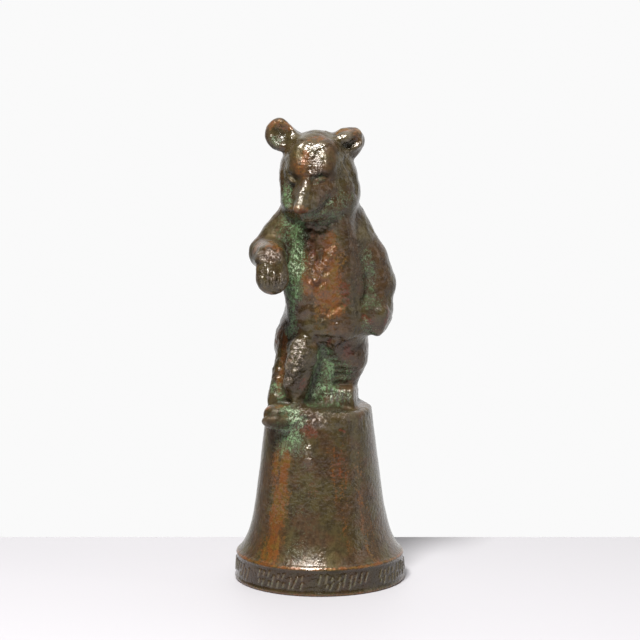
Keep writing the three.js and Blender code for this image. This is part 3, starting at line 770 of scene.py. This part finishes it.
def bell_green(q):
    front = strongest(0.95 * stripe(q, -34, 16, 51.5, 58, 4), 0.16 * stripe(q, -18, 22, 12, 50))
    back = strongest(0.5 * stripe(q, 160, 25, 46, 60), 0.35 * stripe(q, -100, 20, 12, 50))
    return strongest(front, back)


def bell_red(q):
    return strongest(0.35 * stripe(q, 20, 10, 42, 50, 3), 0.35 * stripe(q, -8, 8, 36, 40, 3))


# Where the metal never took a shine; painted shade in grooves, gaps and cups and on faces that the light
# misses; painted highlights on crumpled metal
DULL = dict(
    elbow=((-25, -3, 122), (-24, -12, 121), 5, 0.9),
    cuff=((-22, -14, 123), (-22, -19, 119), 3.4, 0.7),
    bell_sheen_left=((-14.6, -23.4, 12), (-13.4, -21.8, 21), 5),
    bell_sheen_right=((5, -27.2, 12), (4.6, -25, 21), 6),
    nose=((-9, -21.6, 138.2), (-5.2, -21.6, 138.2), 2.6, 0.9),
    muzzle=((-8.6, -16, 143.5), (-9.4, -19, 139.6), 2.6, 0.8),
    foot_top=((7.6, -4, 72.4), (11, -4, 72), 3.4),
    foot_edge=((9, -8, 65.2), (12, -8.2, 64.6), 3.4, 1.2),
    calf=((-15.4, -8, 71), (-14, -10, 68.6), 3, 0.9),
    eyes=((-2, -13, 148), (2, -12, 149), 3, 0.9),
    far_eye=((-11, -10, 148), (-9, -11, 148), 2.5, 0.7),
    cup=((-15, -1, 162.5), (-12.6, -2, 161.5), 3.6, 0.8),
    dome=((-18, -18, 64), (-13, -19, 64), 3.4),
    pad=((-18, -19, 61.6), (-12, -19, 61.6), 3.4, 0.8),
    toes=((2, -6, 70), (12, -6, 70), 4.6, 0.5),
    shoulder=((-15, -4, 131), (-17.4, -5, 126.6), 5, 1.1),
    ground=((-4, -9, 66), (8, -9, 66), 4),
    heel=((-18, -10, 67), (-13, -12, 67), 3.4, 0.8),
    wrist=((18.6, -5, 105), (19, -5, 101), 5, 1.2),
    brow=((-9.0, -11, 160), (-8.0, -13, 151), 4.6),
    brow_left=((4.6, -11, 159), (4.8, -13, 152), 4, 0.8),
    ear_tip=((-17, 1, 168.6), (-12.6, 1, 169), 2.6, 0.8),
    green_side=((-8, -7, 130), (-10, -7, 106), 6, 0.6),
    belly_fold=((0.4, -10, 98), (7.6, -10, 102), 3.6, 0.9),
)
# Painted shade: grooves, eye slits, ear cups, the mouth, the ground under the body, and faces that the light
# misses such as the temple, the foot's dome and the wrist
PAINTED_SHADE = dict(
    ground=((-2, -10, 66), (9, -10, 66), 4.4),
    hollow=((3, -14, 65), (8, -13, 65), 3.4),
    cup=((-15.6, 0, 165), (-13.6, 0, 162), 3.4, 0.6),
    groove=((8, -4, 159), (13, -3, 161.6), 1.8, 0.6),
    dome=((-18, -18, 64.6), (-13, -19, 64.6), 2.6),
    pad=((-18, -19, 61), (-12, -19, 61), 3, 0.8),
    wrist=((18.6, -5, 105), (19, -5, 101), 5),
    temple=((6, -9, 152), (8, -8, 144), 5, 0.3),
    nose=((-9, -21.6, 138.2), (-5.2, -21.6, 138.2), 2.6, 0.6),
    slit=((-3.2, -13.5, 149.1), (0.5, -13.2, 150.5), 1.3, 1.4),
    slit_end=((0.5, -13.2, 150.5), (2.5, -12.6, 149.8), 1.1, 0.8),
    elbow=((-25, -2, 123), (-23, -12, 120), 5, 0.5),
    mouth=((-7.4, -20.4, 137.2), (-2.6, -18.4, 137.2), 1.3, 0.8),
    mouth_side=((-2.6, -18.4, 137.2), (3.6, -12.5, 141.4), 1.3, 0.6),
)
# Painted highlights: light flecks on crumpled metal, ridges, beads, claws and toes
PAINTED_HIGHLIGHTS = dict(
    shin=((-7, -14, 89), (-10.4, -14, 77), 4.6),
    clumps=((-9, -17, 65), (-1, -18, 62), 5, 1.3),
    crumbs=((3, -16, 64), (9, -16, 64), 2.6, 0.6),
    chest=((-8.4, -8, 123), (-8.6, -8, 116), 4.2, 1.2),
    web=((0, -8, 84), (-2, -8, 70), 3, 0.5),
    forehead=((-3.2, -14, 158), (-0.8, -15, 152), 4.4),
    keel=((-5, -10, 128), (-1, -11, 113), 2.6),
    keel_left=((4, -10.5, 122), (-0.6, -11, 113.4), 2.2, 0.8),
    beads=((-4.4, -20.8, 52.4), (-4.4, -21.2, 48.8), 3, 0.5),
    wrist=((-20, -21, 122.6), (-15, -21, 122.6), 3.6, 0.9),
    claws=((-21, -24, 116.4), (-14.6, -24, 114), 3.4, 0.9),
    toes=((3, -7, 70), (12, -7, 69), 2.6, 0.8),
    left_roll=((4.6, -4, 161.6), (9, -4, 163.4), 2.4, 0.8),
    left_rim=((9.4, -3, 157.6), (13.4, -2, 160), 2.2, 0.8),
)


# Painted shade at the listed places and in the gaps between the toes
def painted_shade_places(p):
    gaps = [TOE_X + TOE_PITCH * (i + 0.5) for i in range(4)]
    toe_gaps = [streak(p, (x, -6.0, 71.2), (x, -7.6, 66.2), 1.0, 1.2) for x in gaps]
    return strongest(marked(p, PAINTED_SHADE), *toe_gaps)


def patina(p, deep, edge, rough):
    """The masks that the material reads, with ragged edges."""
    q = drifted(p, 4.0, 1.8, SEED + 50)
    # Green powder gathers where the deep mask lies; that mask also carries painted shade
    green = strongest(marked(q, GREEN), bell_green(q)) + 0.3 * deep - 0.35 * edge
    warm = strongest(marked(q, WARM), bell_warm(q)) + 0.15 * edge
    dull = np.clip(strongest(marked(q, DULL), 0.6 * stripe(q, -66, 14, 12, 60)), 0, 1)
    worked = np.clip(rough, 0, 1)
    return {"green": np.clip(green, 0, 1), "warm": np.clip(warm, 0, 1),
            "red": strongest(marked(q, RED), bell_red(q)), "deep": deep, "edge": edge * (1 - dull),
            "rough": rough, "dull": dull, "painted_highlight": marked(q, PAINTED_HIGHLIGHTS),
            "satin": 0.26 * dull + 0.12 * worked, "gloss": 0.3 * (1 - dull) * (1 - 0.7 * worked)}


def cast_grain(p):
    """The low waves and pits of the cast metal, the same on both pieces where they meet."""
    return 0.09 * cloud(p, 7.0, SEED) + 0.035 * cloud(p, 1.8, SEED + 10)


# How far the modelling goes in and out, and where it fades towards the tip of the ear
WORK_DEPTH = 0.9
WORK_HEIGHT = 0.45
EAR_TIP_Z = 166.5


def bear_piece():
    f = sculpt()
    points, quads = surface(f)
    points = relaxed(points, quads, 2, 0.5)
    normals = normals_of(points, quads)
    height = points[:, 2]
    crowded = crowding(f, points, 2.0)
    # Painted shade: umber in hollows where metal crowds round, at the listed places and in the toe gaps;
    # above the bell the bear is also a little darker in tone
    hollows = smooth_step(crowded, 0.52, 0.68)
    above_bell = smooth_step(height, 60, 72)
    deep = strongest(hollows, 0.22 * above_bell, painted_shade_places(points))
    edge = 1 - smooth_step(crowded, 0.25, 0.38)
    rough = roughness(drifted(points, 3.0, 1.2, SEED + 70))
    work = 0.2 * cloud(points, 6.0, SEED + 5)
    large_dabs = tool_marks(points, 4.0, SEED + 20)
    small_dabs = tool_marks(points, 2.1, SEED + 30)
    work += rough * (0.3 * large_dabs + 0.34 * small_dabs)
    work = np.clip(work, -WORK_DEPTH, WORK_HEIGHT) * smooth_step(height, JOIN_Z, JOIN_Z + 3)
    work *= 1 - 0.8 * smooth_step(height, EAR_TIP_Z, EAR_TIP_Z + 2)
    points = points + normals * (work + cast_grain(points))[:, None]
    return make_piece("bear", points, quads, patina(points, deep, edge, rough))


# The bell below its shoulder, in rows down the inside and up the outside
BELL_ROUND = 600
BAND_ROW = 0.25
BELL_ROW = 0.7


def band_radius(z):
    """The band: thin lips at its foot and top, and a step in to the flare."""
    lips = 0.3 * swell(z, 0.9, 0.6) + 0.35 * swell(z, BAND_HEIGHT - 0.7, 0.5)
    face = MOUTH_RADIUS - 0.45 - 0.07 * z
    step = smooth_step(z, BAND_HEIGHT - 0.3, BAND_HEIGHT + 0.9)
    foot = 0.4 * (1 - smooth_step(z, 0.0, 0.5))
    return (face + lips - foot) * (1 - step) + bell_radius(z) * step


def bell_rows():
    """(radius, height, 1 outside or 0 inside) of each row."""
    mouth = MOUTH_RADIUS - RIM_WIDTH
    step_top = BAND_HEIGHT + 1.5
    rows = [(bell_radius(z) - WALL, z, 0) for z in np.linspace(JOIN_Z + 1.2, 10, 26)]
    rows += [(mouth, z, 0) for z in np.linspace(8, 0.4, 4)]
    rows += [(r, 0, 0) for r in (mouth + 0.4, mouth + RIM_WIDTH / 2, MOUTH_RADIUS - 0.5)]
    rows += [(band_radius(z), z, 1) for z in np.arange(0.2, step_top, BAND_ROW)]
    for z in np.arange(step_top, JOIN_Z + LAP, BELL_ROW):
        rows.append((bell_radius(z) - TUCK * max(z - JOIN_Z, 0), z, 1))
    return rows


# Raised strokes in place of the writing on the band. They stand apart and make no letters.
STROKE_PITCH = 2.3
STROKE_HEIGHT = 0.42
STROKE_HALF_WIDTH = 0.42
STROKE_MIDDLE_Z = 5.0
SHORTEST_HALF = 0.8
LONGEST_HALF = 2.5
STROKE_LEAN = (12, 26)
STROKE_GROUP = 11
EMPTY_IN_GROUP = (7, 8)


def stroke_list():
    """(distance round the band, height, half length, lean) of each stroke, with a dot by the short ones."""
    rng = np.random.default_rng(SEED + 40)
    places = int(2 * np.pi * MOUTH_RADIUS / STROKE_PITCH)
    strokes = []
    for i in range(places):
        if i % STROKE_GROUP in EMPTY_IN_GROUP:
            continue
        at = (i + rng.uniform(0.35, 0.65)) * 2 * np.pi * MOUTH_RADIUS / places
        half = rng.uniform(SHORTEST_HALF, LONGEST_HALF)
        height = STROKE_MIDDLE_Z + rng.choice((-1, 1)) * (LONGEST_HALF - half)
        strokes.append((at, height, half, radians(rng.uniform(*STROKE_LEAN))))
        if half < 1.4:
            dot_height = 2 * STROKE_MIDDLE_Z - height
            strokes.append((at + 0.2, dot_height, 0.5, radians(rng.uniform(*STROKE_LEAN))))
    return strokes


def stroke_relief(p):
    out = np.zeros(len(p))
    on_band = np.flatnonzero((p[:, 2] > 1.2) & (p[:, 2] < BAND_HEIGHT - 0.8))
    around = (np.arctan2(p[on_band, 1], p[on_band, 0]) % (2 * np.pi)) * MOUTH_RADIUS
    up = p[on_band, 2]
    for at, height, half, lean in stroke_list():
        dx, dz = around - at, up - height
        along = np.clip(dx * np.sin(lean) + dz * np.cos(lean), -half, half)
        off = np.hypot(dx - along * np.sin(lean), dz - along * np.cos(lean))
        out[on_band] = np.maximum(out[on_band], swell(off, 0, STROKE_HALF_WIDTH))
    return out


# Two beads high on the bell's front, and a soft sheen low on its flare
BEADS = ((-4.4, -20.2, 51.6), (-4.4, -20.4, 48.1))
BEAD_HEIGHT = 0.7
BEAD_REACH = 2.4
SHEEN = ((-7, -27, 14), (-4, -24, 23), 10)


def bell_mesh():
    """Points and quads of the bell without its relief, and 1 for each point that lies outside."""
    turn = np.linspace(0, 2 * np.pi, BELL_ROUND, endpoint=False)
    radius, height, side = np.array(bell_rows()).T
    z, t = np.meshgrid(height, turn, indexing="ij")
    r = np.repeat(radius[:, None], BELL_ROUND, 1)
    points = np.stack([r * np.cos(t) + bell_lean(z), r * np.sin(t), z], 2).reshape(-1, 3)
    i, j = np.meshgrid(np.arange(len(height)), np.arange(BELL_ROUND), indexing="ij")
    k, after = (j + 1) % BELL_ROUND, (i + 1) % len(height)
    ring = [i * BELL_ROUND + j, i * BELL_ROUND + k, after * BELL_ROUND + k, after * BELL_ROUND + j]
    return points, np.stack(ring, 2).reshape(-1, 4), side.repeat(BELL_ROUND)


def bell_piece():
    points, quads, outside = bell_mesh()
    normals = normals_of(points, quads)
    raised = stroke_relief(points) * outside
    relief = cast_grain(points)
    for bead in BEADS:
        relief += BEAD_HEIGHT * streak(points, bead, bead, BEAD_REACH)
    relief = relief * outside * smooth_step(points[:, 2], 0.3, 1.5) + STROKE_HEIGHT * raised
    points = points + normals * relief[:, None]
    height = points[:, 2]
    on_band = smooth_step(height, 1.0, 1.6) * (1 - smooth_step(height, 8.8, 9.4))
    between = on_band * (1 - smooth_step(raised, 0.1, 0.5))
    # Painted shade: darker between the strokes on the band and all over the inside of the bell
    deep = np.clip(0.9 * between + 0.8 * (1 - outside), 0, 1)
    edge = smooth_step(raised, 0.3, 0.8)
    sheen = streak(points, *SHEEN)
    round_beads = streak(points, (-4.4, -20.6, 52), (-4.4, -21, 48), 4, 0.6)
    masks = patina(points, deep, edge, strongest(0.14 * (1 - sheen), round_beads))
    masks["satin"] += 0.12 * sheen
    masks["gloss"] *= 1 - sheen
    # Painted highlight: warm colour along the band's raised lips
    lips = swell(height, BAND_HEIGHT - 0.2, 0.5) + swell(height, 0.4, 0.5)
    masks["warm"] = np.maximum(masks["warm"], 0.9 * lips * outside)
    masks["green"] = np.where(on_band > 0, 0.35 * edge, masks["green"])
    return make_piece("bell", points, quads, masks)


# Objects in the scene
def placed(name, data):
    thing = bpy.data.objects.new(name, data)
    bpy.context.scene.collection.objects.link(thing)
    return thing


def make_piece(name, points, quads, masks):
    """A mesh of quads in metres, with each mask as an attribute of its points."""
    mesh = bpy.data.meshes.new(name)
    mesh.vertices.add(len(points))
    mesh.vertices.foreach_set("co", (points * MM).astype(np.float32).ravel())
    mesh.loops.add(quads.size)
    mesh.loops.foreach_set("vertex_index", quads.astype(np.int32).ravel())
    mesh.polygons.add(len(quads))
    mesh.polygons.foreach_set("loop_start", np.arange(0, quads.size, 4, dtype=np.int32))
    mesh.polygons.foreach_set("loop_total", np.full(len(quads), 4, dtype=np.int32))
    mesh.update(calc_edges=True)
    mesh.validate()
    mesh.shade_smooth()
    for key, values in masks.items():
        mesh.attributes.new(key, "FLOAT", "POINT").data.foreach_set("value", values.astype(np.float32))
    return placed(name, mesh)


# Materials
class Nodes:
    """Lays out the nodes of a material or of the surroundings."""

    def __init__(self, owner, shader):
        owner.use_nodes = True
        self.tree = owner.node_tree
        self.shader = self.tree.nodes[shader]
        self.coords = self.new("TexCoord").outputs

    def new(self, kind, **inputs):
        node = self.tree.nodes.new("ShaderNode" + kind)
        for name, value in inputs.items():
            self.put(node.inputs[name], value)
        return node

    def put(self, socket, value):
        if isinstance(value, bpy.types.NodeSocket):
            self.tree.links.new(value, socket)
        else:
            socket.default_value = value

    def set(self, name, value):
        self.put(self.shader.inputs[name], value)

    def mask(self, name):
        node = self.new("Attribute")
        node.attribute_name = name
        return node.outputs["Fac"]

    def noise(self, size_mm, detail=2.0, rough=0.55, stretch=None):
        place = self.coords["Object"]
        if stretch:
            place = self.new("Mapping", Vector=place, Scale=stretch).outputs[0]
        scale = 1 / (size_mm * MM)
        return self.new("TexNoise", Vector=place, Scale=scale, Detail=detail, Roughness=rough).outputs["Fac"]

    def math(self, kind, *values):
        node = self.new("Math")
        node.operation = kind
        for socket, value in zip(node.inputs, values):
            self.put(socket, value)
        return node.outputs[0]

    def times(self, a, b):
        return self.math("MULTIPLY", a, b)

    def blend(self, a, b, share):
        """The first value by its share and the second by the rest."""
        return self.math("MULTIPLY_ADD", a, share, self.times(b, 1 - share))

    def ramp(self, value, low, high, out_low=0.0, out_high=1.0):
        node = self.new("MapRange")
        node.interpolation_type = "SMOOTHSTEP"
        for socket, v in zip(node.inputs, (value, low, high, out_low, out_high)):
            self.put(socket, v)
        return node.outputs[0]

    def speckled(self, mask, noise, spread):
        """A mask broken up by noise where it is weak, and whole where it is strong."""
        shifted = self.math("MULTIPLY_ADD", self.math("SUBTRACT", noise, 0.5), spread, mask)
        return self.times(self.ramp(shifted, 0.35, 0.85), self.ramp(mask, 0.05, 0.3))

    def mix(self, factor, a, b):
        node = self.new("Mix")
        node.data_type = "RGBA"
        self.put(node.inputs[0], factor)
        for socket, value in zip(node.inputs[6:8], (a, b)):
            self.put(socket, value if isinstance(value, bpy.types.NodeSocket) else (*value, 1))
        return node.outputs[2]

    def bump(self, height, depth_mm, **under):
        return self.new("Bump", Distance=depth_mm * MM, Height=height, **under).outputs[0]


# Colours of the patina
UMBER = (0.02, 0.012, 0.006)
BROWN = (0.085, 0.046, 0.02)
OLIVE = (0.08, 0.06, 0.022)
ORANGE = (0.215, 0.066, 0.011)
OCHRE = (0.21, 0.105, 0.018)
MOSS = (0.03, 0.055, 0.016)
VERDIGRIS = (0.155, 0.3, 0.125)
PALE = (0.5, 0.6, 0.4)
COPPER_RED = (0.15, 0.03, 0.015)
PAINTED_HIGHLIGHT_TONE = (0.44, 0.36, 0.31)
WORN = (0.24, 0.2, 0.15)


def bronze_colour(m, middle, fine, grain, green):
    """Brown metal, then warm and red places, green powder, painted shade in hollows, worn edges and painted
    highlight flecks.
    """
    speck = m.blend(grain, fine, 0.5)
    runs = m.noise(2.2, 3, 0.6, stretch=(1, 1, 0.16))
    base = m.mix(m.ramp(m.noise(9.0, 3), 0.4, 0.6), BROWN, OLIVE)
    base = m.mix(m.ramp(middle, 0.42, 0.62, 0.0, 0.45), base, UMBER)
    base = m.mix(m.ramp(runs, 0.48, 0.62, 0.0, 0.3), base, UMBER)
    base = m.mix(m.ramp(speck, 0.52, 0.62, 0.0, 0.6), base, OLIVE)

    warm = m.speckled(m.times(m.mask("warm"), 0.95), m.blend(speck, runs, 0.6), 4.0)
    warm_tone = m.mix(m.ramp(middle, 0.46, 0.6), ORANGE, OCHRE)
    base = m.mix(m.times(warm, 0.66), base, warm_tone)
    base = m.mix(m.times(m.speckled(m.mask("red"), speck, 5.0), 0.6), base, COPPER_RED)

    patches = m.ramp(middle, 0.4, 0.58, 0.35, 1.15)
    thick = m.times(m.ramp(m.mask("green"), 0.3, 1.0, 0.25, 1.0), patches)
    green_tone = m.mix(m.times(m.ramp(fine, 0.42, 0.6), thick), MOSS, VERDIGRIS)
    green_tone = m.mix(m.times(m.ramp(grain, 0.54, 0.68, 0.0, 0.7), thick), green_tone, PALE)
    base = m.mix(m.times(green, 0.78), base, green_tone)
    # Painted shade: umber where the deep mask lies, in hollows, gaps and inside the bell
    base = m.mix(m.times(m.mask("deep"), 0.66), base, UMBER)
    base = m.mix(m.times(m.mask("edge"), 0.3), base, WORN)

    # Painted highlights: flecks of a light tone, paler on green, where the mask of painted highlights lies
    highlight_tone = m.mix(m.times(green, 0.8), PAINTED_HIGHLIGHT_TONE, PALE)
    highlight_flecks = m.times(m.ramp(m.blend(fine, grain, 0.6), 0.52, 0.6), m.mask("painted_highlight"))
    return m.mix(m.times(highlight_flecks, 0.75), base, highlight_tone)


def bronze_finish(m, fine, grain, green):
    """Shine and fine relief. Green powder and dull places reflect less."""
    bare = m.math("SUBTRACT", 1.0, m.times(green, 0.8))
    smooth = m.math("MULTIPLY_ADD", green, 0.12, m.ramp(fine, 0.3, 0.7, 0.16, 0.28))
    m.set("Metallic", m.times(bare, 0.25))
    m.set("Roughness", m.math("ADD", m.mask("satin"), smooth))
    m.set("Specular IOR Level", m.math("MULTIPLY_ADD", m.mask("dull"), -0.45, 0.6))
    m.set("Coat Weight", m.mask("gloss"))
    m.set("Coat Roughness", 0.08)
    worked = m.math("MULTIPLY_ADD", m.mask("rough"), 0.9, 0.18)
    normal = m.bump(m.times(m.noise(1.3, 1, 0.5), worked), 0.7)
    normal = m.bump(m.times(grain, m.math("MULTIPLY_ADD", green, 0.5, worked)), 0.14, Normal=normal)
    m.set("Normal", normal)
    m.set("Coat Normal", normal)


def bronze():
    metal = bpy.data.materials.new("patinated_bronze")
    m = Nodes(metal, "Principled BSDF")
    middle = m.noise(2.8, 4, 0.6)
    fine = m.noise(1.0, 3, 0.6)
    grain = m.noise(0.4, 2, 0.6)
    green = m.speckled(m.mask("green"), m.blend(grain, fine, 0.65), 5.0)
    m.set("Base Color", bronze_colour(m, middle, fine, grain, green))
    bronze_finish(m, fine, grain, green)
    return metal


def pale_floor():
    pale = bpy.data.materials.new("pale_floor")
    m = Nodes(pale, "Principled BSDF")
    m.set("Base Color", (0.48, 0.466, 0.48, 1))
    m.set("Roughness", 0.6)
    return pale


# Camera: the photograph's own viewing angle, for a square frame of 640 pixels
FRAME_PIXELS = 640
FOCAL_PIXELS = 3352.1
CAMERA_BACK = 1200.0
CAMERA_UP = 307.4
CAMERA_PITCH = 10.01
FLOOR_EDGE_ROW = 537
SENSOR = 36.0


def camera():
    data = bpy.data.cameras.new("camera")
    data.sensor_width = SENSOR
    data.lens = SENSOR * FOCAL_PIXELS / FRAME_PIXELS
    data.clip_start = 0.05
    data.clip_end = 50
    view = placed("camera", data)
    view.location = (0, -CAMERA_BACK * MM, CAMERA_UP * MM)
    view.rotation_euler = (radians(90 - CAMERA_PITCH), 0, 0)
    bpy.context.scene.camera = view


def floor():
    """A pale slab whose back edge shows behind the bell, as in the photograph."""
    down = radians(CAMERA_PITCH) + atan((FLOOR_EDGE_ROW - FRAME_PIXELS / 2) / FOCAL_PIXELS)
    back = CAMERA_UP / tan(down) - CAMERA_BACK
    wide, front, thick = 900.0, -900.0, 30.0
    mesh = bpy.data.meshes.new("floor")
    x = [-wide, wide, wide, -wide]
    y = [front, front, back, back]
    verts = [(a * MM, b * MM, z * MM) for z in (-thick, 0.0) for a, b in zip(x, y)]
    faces = [(3, 2, 1, 0), (4, 5, 6, 7), (0, 1, 5, 4), (1, 2, 6, 5), (2, 3, 7, 6), (3, 0, 4, 7)]
    mesh.from_pydata(verts, [], faces)
    mesh.materials.append(pale_floor())
    slab = placed("floor", mesh)


def softbox(name, azimuth, elevation, away_mm, size_mm, watts, aim_z=90.0):
    """An area light that faces the object; azimuth 0 is the camera's side, positive to its right."""
    a, e = radians(azimuth), radians(elevation)
    aim = Vector((0, 0, aim_z * MM))
    out = Vector((np.sin(a) * np.cos(e), -np.cos(a) * np.cos(e), np.sin(e)))
    data = bpy.data.lights.new(name, "AREA")
    data.shape = "RECTANGLE"
    data.size, data.size_y = size_mm[0] * MM, size_mm[1] * MM
    data.energy = watts
    lamp = placed(name, data)
    lamp.location = aim + out * away_mm * MM
    lamp.rotation_euler = (-out).to_track_quat("-Z", "Y").to_euler()


def surroundings():
    """White behind and at the sides, dimmer in front. The camera itself sees an even near-white."""
    world = bpy.data.worlds.new("studio")
    bpy.context.scene.world = world
    m = Nodes(world, "Background")
    split = m.new("SeparateXYZ")
    m.put(split.inputs[0], m.coords["Generated"])
    behind = m.math("MULTIPLY_ADD", split.outputs["X"], 0.32, split.outputs["Y"])
    light = m.ramp(behind, 0.1, 0.95, 0.05, 1.0)
    seen = m.new("LightPath").outputs["Is Camera Ray"]
    m.set("Color", (0.955, 0.955, 0.955, 1))
    m.set("Strength", m.math("MAXIMUM", light, seen))


bpy.context.scene.view_settings.view_transform = "Standard"
metal = bronze()
for piece in (bear_piece(), bell_piece()):
    piece.data.materials.append(metal)
    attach(piece, "root")
    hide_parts("bear_on_bell")
camera()
floor()
surroundings()
softbox("key", -20, 58, 900, (240, 240), 16)
softbox("fill", 75, 20, 1100, (200, 900), 1.1)
softbox("top", 0, 89, 1300, (1500, 1500), 5)
